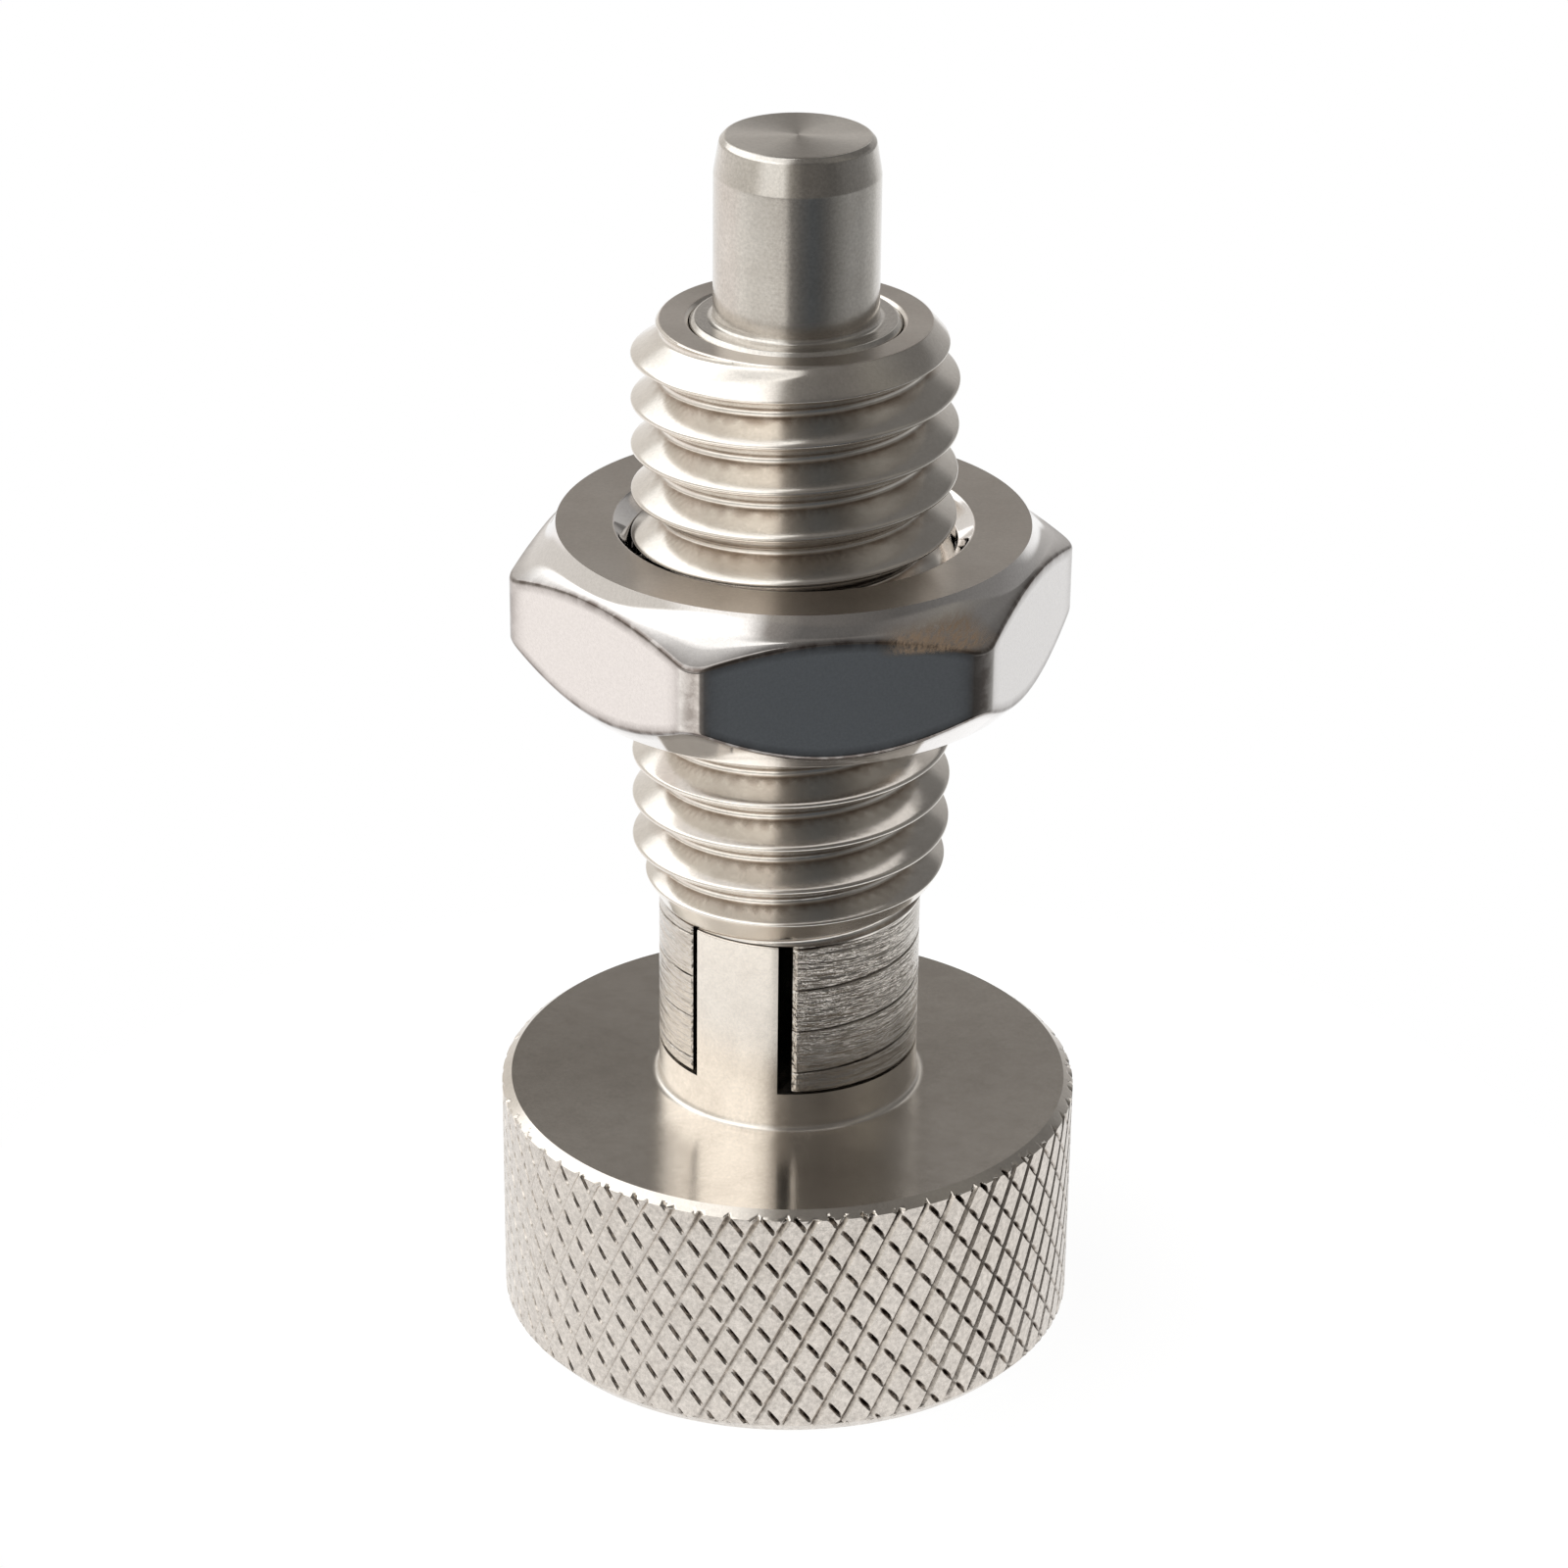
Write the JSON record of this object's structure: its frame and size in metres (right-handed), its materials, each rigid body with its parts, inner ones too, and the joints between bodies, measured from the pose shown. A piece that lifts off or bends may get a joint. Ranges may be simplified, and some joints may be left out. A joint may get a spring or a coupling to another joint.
{
  "type": "indexing plunger",
  "caption": "Steel indexing plunger with a coarse threaded sleeve, thin hexagon lock nut, sprung tapered pin, and a round knurled pull knob with tabs in a slot across the sleeve's tail.",
  "frame": {"origin": "middle of the knob's flat underside, which the part stands on", "axes": "+Z along the pin, from the knob to the pin's tip; the slot in the sleeve's tail runs along Y"},
  "size_m": [0.022, 0.022, 0.0472],
  "materials": {
    "sleeve_steel": "turned stainless steel",
    "pin_steel": "ground stainless steel",
    "spring_steel": "drawn stainless spring wire",
    "knob_steel": "turned and diamond-knurled stainless steel",
    "nut_steel": "polished stainless steel"
  },
  "bodies": {
    "sleeve": {"threaded_sleeve": "sleeve_steel"},
    "plunger": {"plunger_pin": "pin_steel", "spring": "spring_steel"},
    "pull_knob": {"knob": "knob_steel"},
    "nut": {"lock_nut": "nut_steel"}
  },
  "joints": [
    {"name": "knob_pull", "type": "slide", "parent": "sleeve", "child": "plunger", "axis": [0, 0, -1], "range_m": [0, 0.007], "stiffness_N_per_m": 1334, "springref_m": -0.0056, "deforming": ["spring"]},
    {"name": "knob_turn", "type": "hinge", "parent": "plunger", "child": "pull_knob", "pos_m": [0, 0, 0], "axis": [0, 0, 1], "range_deg": [-2.6, 5.4]},
    {"name": "nut_travel", "type": "slide", "parent": "sleeve", "child": "nut", "axis": [0, 0, 1], "range_m": [-0.0074, 0.0078]}
  ]
}
